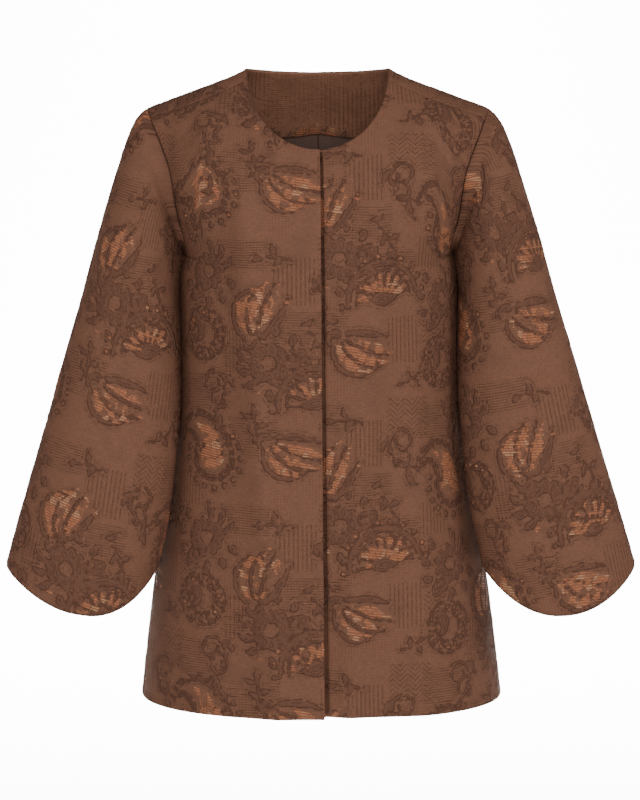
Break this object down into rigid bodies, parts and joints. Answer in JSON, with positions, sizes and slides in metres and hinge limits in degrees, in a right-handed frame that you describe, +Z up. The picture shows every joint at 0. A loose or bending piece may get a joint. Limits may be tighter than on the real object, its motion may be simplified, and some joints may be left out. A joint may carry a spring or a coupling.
{
  "type": "jacquard jacket",
  "caption": "Collarless hip-length jacket of brown jacquard with a round neck, concealed front closure and long bell sleeves, filled out as worn.",
  "frame": {"origin": "midway between the two points where the shoulder ridges meet the neck, at their height, where the wearer's shoulders carry the jacket", "axes": "+Z up, the front faces -Y, +X is the wearer's left"},
  "size_m": [0.734, 0.2749, 0.7422],
  "materials": {
    "jacquard": "matt, with a soft relief",
    "facing": "matt"
  },
  "bodies": {
    "root": {"front_right": "jacquard", "front_left": "jacquard", "back_right": "jacquard", "back_left": "jacquard", "sleeve_cap_right": "jacquard", "sleeve_upper_right": "jacquard", "sleeve_middle_right": "jacquard", "sleeve_lower_right": "jacquard", "sleeve_cap_left": "jacquard", "sleeve_upper_left": "jacquard", "sleeve_middle_left": "jacquard", "sleeve_lower_left": "jacquard", "back_neck_facing": "facing"}
  },
  "joints": []
}
